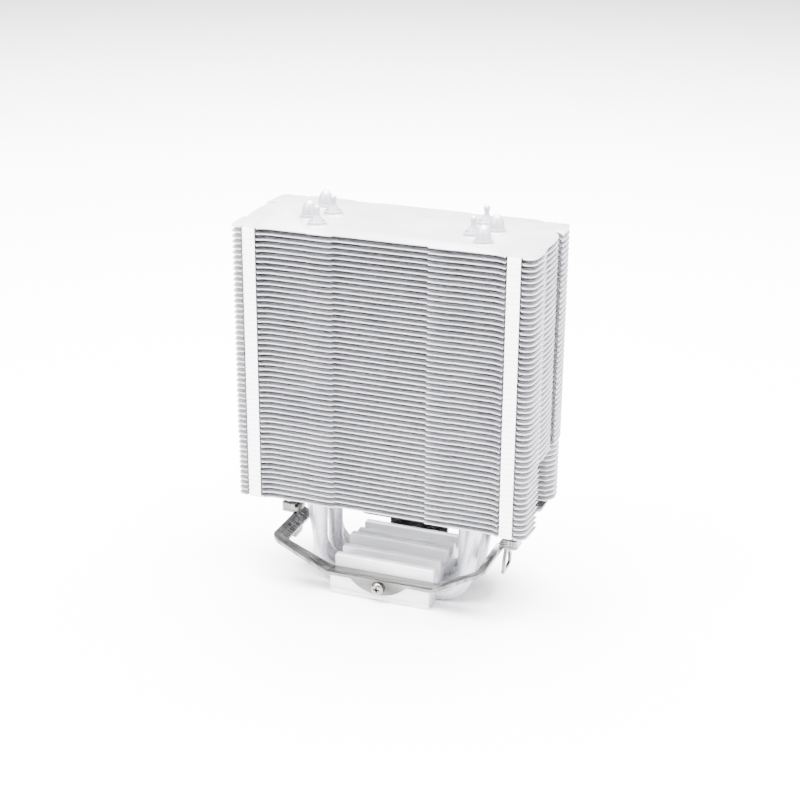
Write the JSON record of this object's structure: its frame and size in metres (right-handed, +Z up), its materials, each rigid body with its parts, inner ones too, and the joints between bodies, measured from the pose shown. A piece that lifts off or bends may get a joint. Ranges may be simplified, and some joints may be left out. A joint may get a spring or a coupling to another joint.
{
  "type": "cpu tower cooler",
  "caption": "Tower heat sink: a tall stack of thin fins on bent heat pipes over a finned base block, with sheet brackets, tension screws and clip hooks.",
  "frame": {"origin": "middle of the base block's contact face, under the centre of the fin stack", "axes": "+Z up along the fin stack, X across the wide fins, -Y towards the front where a fan would sit"},
  "size_m": [0.1206, 0.0542, 0.1556],
  "materials": {
    "fin": "satin",
    "pipe": "satin white plating",
    "wick": "sintered",
    "base": "satin, fine lines along the ridges",
    "bracket": "polished sheet",
    "hook": "zinc plated",
    "screw": "bright plated"
  },
  "bodies": {
    "cooler": {"notched_fins_01": "fin", "notched_fins_02": "fin", "notched_fins_03": "fin", "notched_fins_04": "fin", "notched_fins_05": "fin", "notched_fins_06": "fin", "fin_over_notch": "fin", "fins_01": "fin", "fins_02": "fin", "fins_03": "fin", "fins_04": "fin", "fins_05": "fin", "fins_06": "fin", "fins_07": "fin", "fins_08": "fin", "fins_09": "fin", "fins_10": "fin", "fins_11": "fin", "fins_12": "fin", "fins_13": "fin", "fins_14": "fin", "fins_15": "fin", "fins_16": "fin", "fins_17": "fin", "fins_18": "fin", "fins_19": "fin", "top_fin": "fin", "heat_pipe_1": "pipe", "heat_pipe_2": "pipe", "heat_pipe_3": "pipe", "heat_pipe_4": "pipe", "pipe_wick_1": "wick", "pipe_wick_2": "wick", "pipe_wick_3": "wick", "pipe_wick_4": "wick", "base_block": "base", "front_bracket": "bracket", "rear_bracket": "bracket", "bracket_screws": "screw"},
    "left_screw": {"left_tension_screw": "screw"},
    "right_screw": {"right_tension_screw": "screw"},
    "left_clip": {"left_hook": "hook"},
    "right_clip": {"right_hook": "hook"}
  },
  "joints": [
    {"name": "left_screw_turn", "type": "hinge", "parent": "cooler", "child": "left_screw", "pos_m": [-0.0477, 0, 0.0258], "axis": [0, 0, 1], "range_deg": [0, 720]},
    {"name": "right_screw_turn", "type": "hinge", "parent": "cooler", "child": "right_screw", "pos_m": [0.0477, 0, 0.0258], "axis": [0, 0, 1], "range_deg": [0, 720]},
    {"name": "left_hook_travel", "type": "slide", "parent": "cooler", "child": "left_clip", "axis": [0, 0, -1], "range_m": [0, 0.001]},
    {"name": "right_hook_travel", "type": "slide", "parent": "cooler", "child": "right_clip", "axis": [0, 0, -1], "range_m": [0, 0.001]}
  ],
  "couplings": [
    {"joint": "left_screw_turn", "follows": "left_hook_travel", "rad_per_m": 12566},
    {"joint": "right_screw_turn", "follows": "right_hook_travel", "rad_per_m": 12566}
  ]
}
